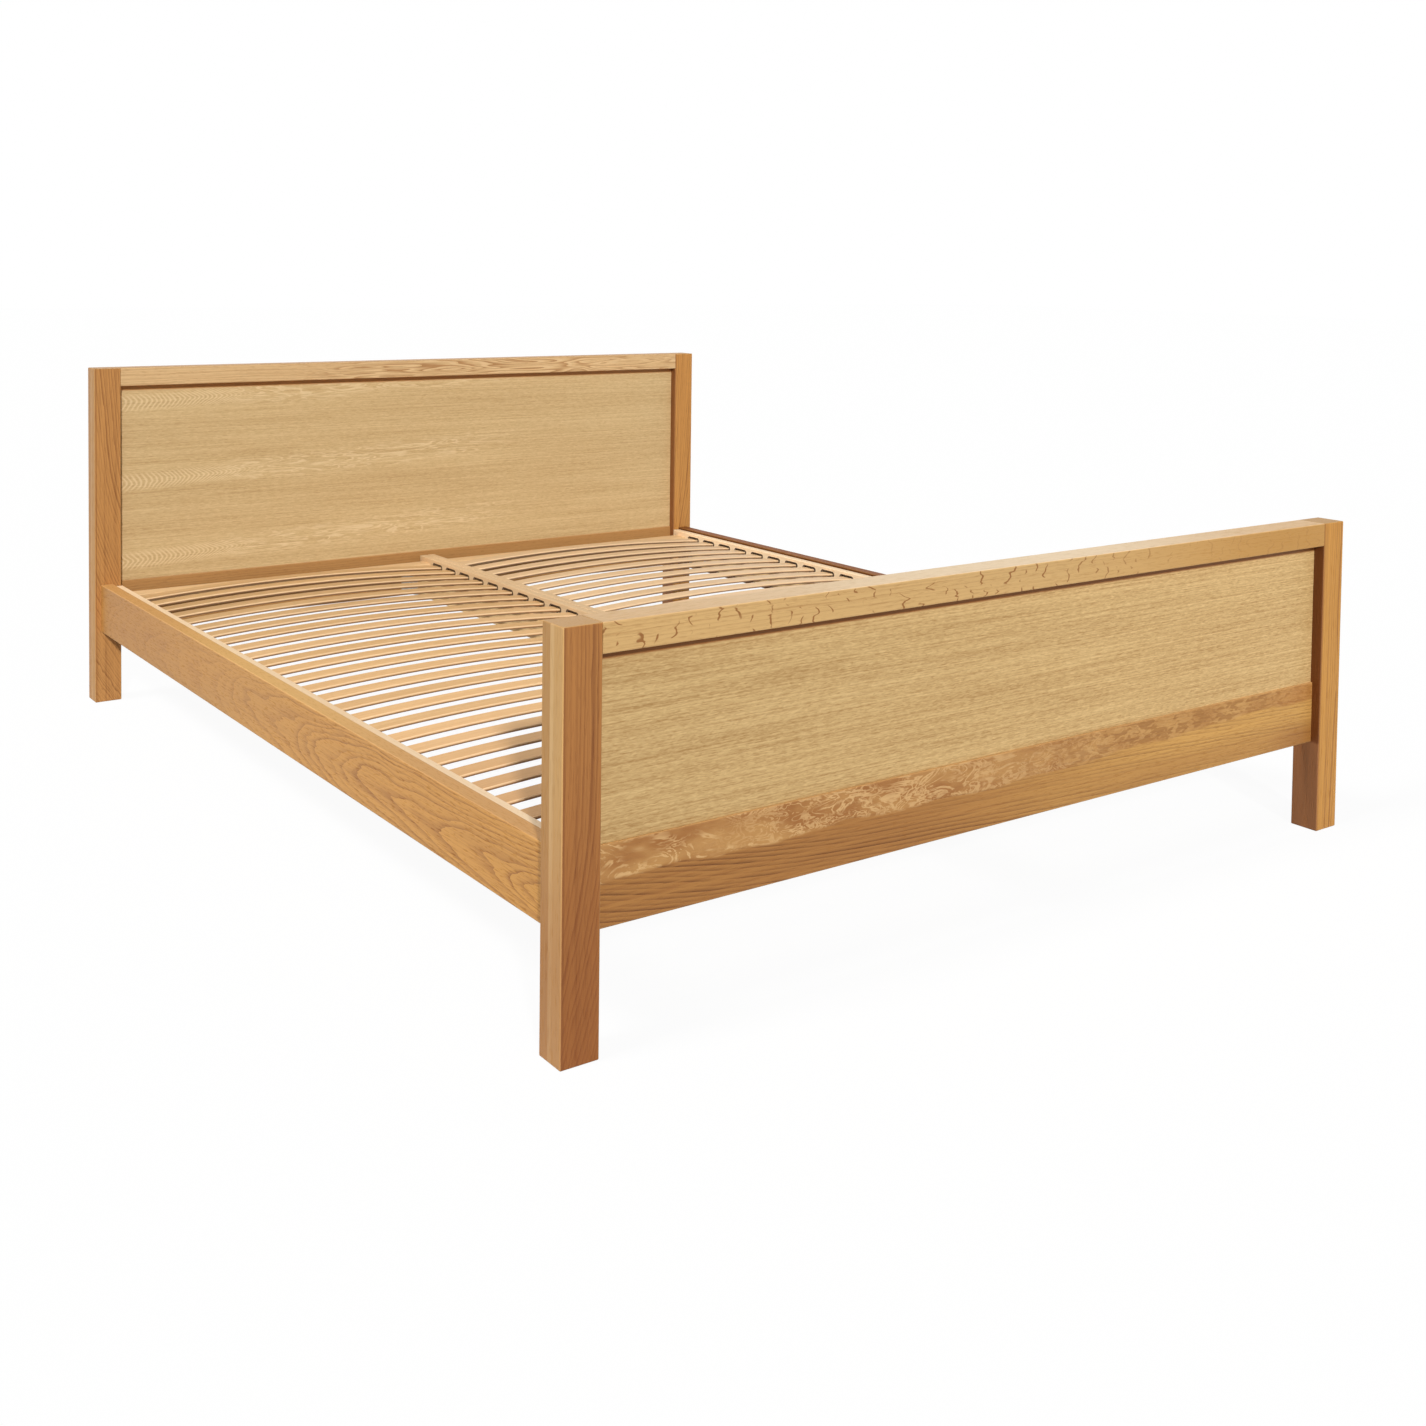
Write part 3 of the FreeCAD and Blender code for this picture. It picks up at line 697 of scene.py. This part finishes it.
pale_beech = stringer_beech(
    "outer_stringer_beech", "left_base_outer_stringer", "YXZ", tone(240, 214, 178), tone(220, 184, 141), -1.0
)
gold_beech = stringer_beech(
    "inner_stringer_beech", "left_base_inner_stringer", "YXZ", tone(214, 184, 144), tone(188, 151, 108), 1.0
)
cross_beech = stringer_beech("bar_beech", "left_base_foot_bar", "XYZ", tone(222, 188, 142), tone(196, 156, 108))
print("mortises every", SLAT_PITCH, "m")

# %% [markdown]
# ## Slats
#
# The slats are thin beech plies glued in a bowed mould: golden on top, with the plies as fine lines
# along their edges. Every slat comes off another sheet. A material per slat would make fifty alike,
# so one material rolls dice with the slat's number instead and shifts its colour a little. The plies
# follow the bow, whose radius comes from the slats' own height: a flat arch of span and rise.

# %% Slat finish
SPAN_END = 0.359
BOW_RISE = 0.014
BOW = (SPAN_END**2 + BOW_RISE**2) / (2 * BOW_RISE)
PLY = 0.0015


def edge_light_and_glue_lines(f, b, wood):
    """A painted highlight along the top of the slats' long edges, painted shade below it, and fine glue lines."""
    aside = abs(b.xyz[0]) - abs(b.middle.x)
    depth = (BOW * BOW - aside * aside).root() - BOW + b.middle.z + b.half.z - b.xyz[2]
    edge = abs(b.normal[1]).ramp(0.25, 0.60)
    # Painted highlight on the upper part of the edge.
    wood = f.blend(edge * depth.ramp(0.0030, 0.0016) * 0.7, wood, tone(238, 206, 164))
    # Painted shade on the lower part of the edge and the underside.
    wood = f.blend(edge * depth.ramp(0.0024, 0.0042) * 0.85, wood, tone(122, 78, 44))
    return f.blend((depth / PLY).contours(0.30, 0.46) * edge * 0.3, wood, tone(160, 110, 66))


def slat_beech():
    f = new_finish("slat_beech")
    b = Board(f, "left_slats_4", "XYZ")
    x, y, z = b.xyz
    right_base, footboard_shade = x.ramp(-0.01, 0.01), y.ramp(-0.3, -0.8)
    number = (y / SLAT_PITCH).floor() + right_base * 50.0
    pick, second, third = (f.dice(number + shift) for shift in (0.0, 0.3, 0.6))
    fibres = f.noise(x * 5.0 + pick * 40.0, y * 300.0, z * 100.0)
    rays = f.noise(x * 90.0, y * 480.0, z * 200.0, detail=1.0).ramp(0.57, 0.72)
    broad = f.noise(x * 1.6 + pick * 20.0, y * 12.0, number * 3.0)
    grain = (fibres - 0.45) * 0.9 + (broad - 0.5) * 1.2 + 0.35
    wood = f.blend(grain, tone(218, 177, 124), tone(190, 145, 92))
    wood = f.blend(rays * 0.25, wood, tone(176, 124, 74))
    wood = f.blend(second * 0.30, wood, tone(220, 180, 136))
    wood = f.blend(right_base * 0.45, wood, tone(240, 210, 172))
    # Painted shade of the footboard: browner near the foot end.
    wood = f.blend(footboard_shade * 0.30, wood, tone(170, 112, 58))
    # Besides a random shift per slat, painted light: brighter in the middle of the bed, darker towards the head,
    # and darker near the foot in the footboard's shade.
    wood = f.shade(wood, (0.93 + third * 0.14) * (1.13 - 0.31 * y.ramp(-0.3, 0.8) - 0.10 * footboard_shade))
    return f.close(edge_light_and_glue_lines(f, b, wood), 0.44 + fibres * 0.1, fibres * 0.6 - rays, CLOSE_GRAIN)


print("bow radius", round(BOW, 2), "m")

# %% Put the beech on
slats = slat_beech()
for name in nodes:
    if "outer_stringer" in name:
        dress(name, pale_beech)
    elif "inner_stringer" in name:
        dress(name, gold_beech)
    elif name.endswith("_bar") or name == "rail_dowels":
        dress(name, cross_beech)
    elif "slats" in name:
        dress(name, slats)
print("beech on", sum("slats" in name for name in nodes), "groups of slats")

# %% [markdown]
# ## Hidden wood, metal and plastic
#
# Under the bases lie softwood battens, zinc-plated fittings and one black plastic foot. They only
# show when a base is lifted out, and plain colours would do for the picture. They get the same care,
# because the bed is also looked at in other poses: yellow rings in the pine, a cloudy, faintly
# streaked zinc, and a fine moulded grain on the plastic.

# %% Pine, zinc and plastic
ZINC_SCRATCH = 0.00005
MOULD_GRAIN = 0.0001


def batten_pine():
    f = new_finish("batten_pine")
    b = Board(f, "centre_beam", "YZX")
    ring = b.early_wood(b.rings(heart=(-0.09, 0.05), slope=0.03, spacing=0.004, sway=0.03))
    fibres = b.fibres()
    broad = b.noise(1.2, 6.0, seed=2.0)
    wood = f.blend(ring * 0.7 + fibres * 0.2, tone(232, 200, 146), tone(206, 156, 92))
    wood = f.shade(wood, 0.9 + broad * 0.2)
    return f.close(wood, 0.58 + broad * 0.1, fibres * 0.6 + ring * 0.5, OPEN_GRAIN)


def zinc_plate():
    f = new_finish("zinc_plate")
    x, y, z = f.split("Object")
    cloud = f.noise(x * 60.0, y * 60.0, z * 60.0, detail=3.0)
    streak = f.noise(x * 900.0, y * 90.0, z * 900.0)
    metal = f.blend(cloud.ramp(0.35, 0.65), (0.60, 0.60, 0.58, 1.0), (0.70, 0.69, 0.64, 1.0))
    return f.close(metal, 0.30 + cloud * 0.12 + streak * 0.08, streak, ZINC_SCRATCH, metallic=1.0)


def foot_plastic():
    f = new_finish("foot_plastic")
    x, y, z = f.split("Object")
    grain = f.noise(x * 1500.0, y * 1500.0, z * 1500.0)
    worn = f.noise(x * 70.0, y * 70.0, z * 70.0)
    black = f.blend(worn.ramp(0.4, 0.7), (0.018, 0.018, 0.019, 1.0), (0.035, 0.034, 0.033, 1.0))
    return f.close(black, 0.5 + grain * 0.15, grain, MOULD_GRAIN)


SLOTS = {"batten_pine": batten_pine(), "zinc_steel": zinc_plate(), "pad_plastic": foot_plastic()}
hidden = [part for part in frame["record"]["subparts"] if part["material_slot"] in SLOTS]
for part in hidden:
    dress(part["node"], SLOTS[part["material_slot"]])
print(len(hidden), "hidden pieces finished")

# %% [markdown]
# ## Floor and room
#
# A product picture has a white ground that fades into nothing. More light could make a floor white,
# but it would bleach the bed too. So the floor is a large plane whose colour is mostly given by the
# camera's own view of it: it stays white, keeps a soft shadow and throws only a normal share of
# light on the bed. The room is white to the camera in the same way, and fills in the shadows a
# little.

# %% Floor and room
FLOOR_SIZE = 60
FLOOR_GREY = (0.5, 0.5, 0.5, 1)
WHITE = (1, 1, 1, 1)


def seen(finish):
    """1 for what the camera sees, straight or by way of metal and glass."""
    path = finish.node("ShaderNodeLightPath", {}, {}, "Is Camera Ray")
    return path.larger(path.out("Is Glossy Ray")).larger(path.out("Is Transmission Ray"))


bpy.ops.object.select_all(action="DESELECT")
bpy.ops.mesh.primitive_plane_add(size=FLOOR_SIZE, location=(0, 0, 0))
floor = bpy.context.object
floor.name = "floor"
ground = new_finish("white_floor")
lit = ground.node("ShaderNodeBsdfDiffuse", {}, {"Color": FLOOR_GREY})
glow = ground.node("ShaderNodeEmission", {}, {"Color": WHITE, "Strength": 1.05})
mixed = ground.node("ShaderNodeMixShader", {}, {0: seen(ground) * 0.9, 1: lit, 2: glow})
ground.node("ShaderNodeOutputMaterial", {}, {0: mixed})
floor.data.materials.append(ground.owner)

room = Finish(bpy.data.worlds.new("white_room"))
bpy.context.scene.world = room.owner
fill = room.node("ShaderNodeBackground", {}, {"Color": WHITE, "Strength": 0.17})
white = room.node("ShaderNodeBackground", {}, {"Color": WHITE, "Strength": 1.0})
mixed = room.node("ShaderNodeMixShader", {}, {0: seen(room), 1: fill, 2: white})
room.node("ShaderNodeOutputWorld", {}, {0: mixed})
print("floor", FLOOR_SIZE, "m wide in a white room")

# %% [markdown]
# ## Lamps
#
# The main lamp stands low in front of the footboard and to its left, so the footboard shades the
# slats behind it. A broad one stands high on the left, a little behind, and lights the left sides
# and everything that looks up. Area lamps would do as well, but a bed is long, and they would light
# its near end more than its far end. Sun lamps are even all over.

# %% Hang the lamps
LAMPS = {
    "front_lamp": dict(towards=(0.34, 0.80, -0.42), strength=2.63, softness=4),
    "left_lamp": dict(towards=(0.62, -0.03, -0.78), strength=1.99, softness=15),
}


def lamp(name, towards, strength, softness):
    """A broad lamp so far off that its light is even all over the bed."""
    data = bpy.data.lights.new(name, "SUN")
    data.energy = strength
    data.angle = math.radians(softness)
    made = bpy.data.objects.new(name, data)
    made.rotation_euler = Vector(towards).to_track_quat("-Z", "Y").to_euler()
    bpy.context.scene.collection.objects.link(made)


for name, recipe in LAMPS.items():
    lamp(name, **recipe)
    print(name, "hung")
bpy.context.scene.view_settings.view_transform = "Standard"

# %% [markdown]
# ## Done
#
# The last cell says that the bed is dressed.

# %% Finish
print("the bed is dressed")
